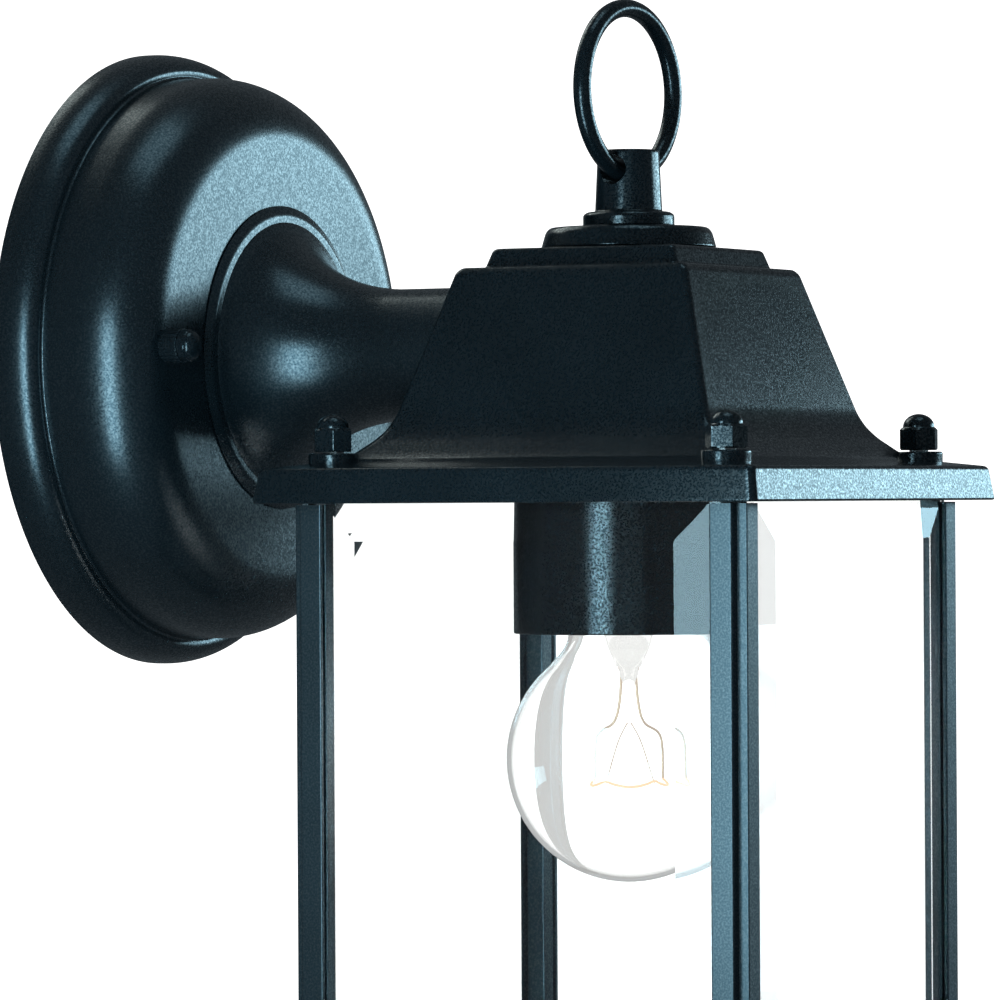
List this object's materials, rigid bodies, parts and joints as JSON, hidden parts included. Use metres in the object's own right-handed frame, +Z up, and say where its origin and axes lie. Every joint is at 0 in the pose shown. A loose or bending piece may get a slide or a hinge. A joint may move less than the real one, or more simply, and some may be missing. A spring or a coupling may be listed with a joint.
{
  "type": "outdoor wall lantern",
  "caption": "Square glazed wall lantern with a pyramid roof, a finial ring, a trumpet arm, a round stepped canopy and a globe lamp in a cup.",
  "frame": {"origin": "centre of the round canopy on the wall plane", "axes": "+Z up, +Y into the wall, the lantern hangs out towards -Y"},
  "size_m": [0.131, 0.1711, 0.2238],
  "materials": {
    "spun_black": "smooth black powder coat, semi-gloss",
    "cast_black": "fine-grained black powder coat on a casting",
    "clear_glass": "clear, bevelled edges",
    "zinc_steel": "zinc plated",
    "ground_green": "green dyed zinc",
    "gasket_foam": "closed-cell foam",
    "porcelain": "glazed porcelain",
    "brass": "plain brass",
    "bulb_clear": "clear lamp glass",
    "bulb_aluminium": "rolled aluminium",
    "dark_vitrite": "black lamp glass",
    "solder_tin": "solder",
    "tungsten": "drawn wire",
    "wire_black": "extruded insulation",
    "wire_white": "extruded insulation",
    "wire_green": "extruded insulation",
    "connector_red": "moulded thermoplastic"
  },
  "bodies": {
    "fitting": {"backplate": "spun_black", "arm": "spun_black", "socket_cup": "spun_black", "roof": "cast_black", "base_frame": "cast_black", "finial_disc": "cast_black", "finial_stem": "cast_black", "cap_nut_left": "cast_black", "cap_nut_right": "cast_black", "post_front_left": "cast_black", "acorn_nut_front_left": "cast_black", "post_stud_front_left": "zinc_steel", "base_screw_front_left": "zinc_steel", "post_front_right": "cast_black", "acorn_nut_front_right": "cast_black", "post_stud_front_right": "zinc_steel", "base_screw_front_right": "zinc_steel", "post_back_right": "cast_black", "acorn_nut_back_right": "cast_black", "post_stud_back_right": "zinc_steel", "base_screw_back_right": "zinc_steel", "post_back_left": "cast_black", "acorn_nut_back_left": "cast_black", "post_stud_back_left": "zinc_steel", "base_screw_back_left": "zinc_steel", "glass_front": "clear_glass", "glass_right": "clear_glass", "glass_back": "clear_glass", "glass_left": "clear_glass", "crossbar": "zinc_steel", "mounting_stud_left": "zinc_steel", "mounting_stud_right": "zinc_steel", "arm_pipe": "zinc_steel", "arm_nut_back": "zinc_steel", "arm_nut_front": "zinc_steel", "centre_pipe": "zinc_steel", "cup_nut": "zinc_steel", "roof_nut": "zinc_steel", "ground_screw": "ground_green", "wall_gasket": "gasket_foam", "lampholder_body": "porcelain", "screw_shell": "brass", "centre_contact": "brass", "supply_wire_black": "wire_black", "supply_wire_white": "wire_white", "ground_wire": "wire_green", "wire_connector_left": "connector_red", "wire_connector_right": "connector_red"},
    "ring": {"finial_ring": "cast_black"},
    "lamp_carrier": {"bulb_insulator": "dark_vitrite", "bulb_tip": "solder_tin"},
    "lamp": {"bulb_glass": "bulb_clear", "bulb_cap": "bulb_aluminium", "bulb_mount": "bulb_clear", "bulb_filament": "tungsten"}
  },
  "joints": [
    {"name": "ring_swing", "type": "hinge", "parent": "fitting", "child": "ring", "pos_m": [0, -0.114, 0.03725], "axis": [0.9952, -0.0976, 0], "range_deg": [-110, 110]},
    {"name": "lamp_travel", "type": "slide", "parent": "fitting", "child": "lamp_carrier", "axis": [0, 0, -1], "range_m": [0, 0.00998]},
    {"name": "lamp_turn", "type": "hinge", "parent": "lamp_carrier", "child": "lamp", "pos_m": [0, -0.114, -0.05], "axis": [0, 0, -1], "range_deg": [0, 990]}
  ],
  "couplings": [
    {"joint": "lamp_turn", "follows": "lamp_travel", "rad_per_m": 1730.9}
  ]
}
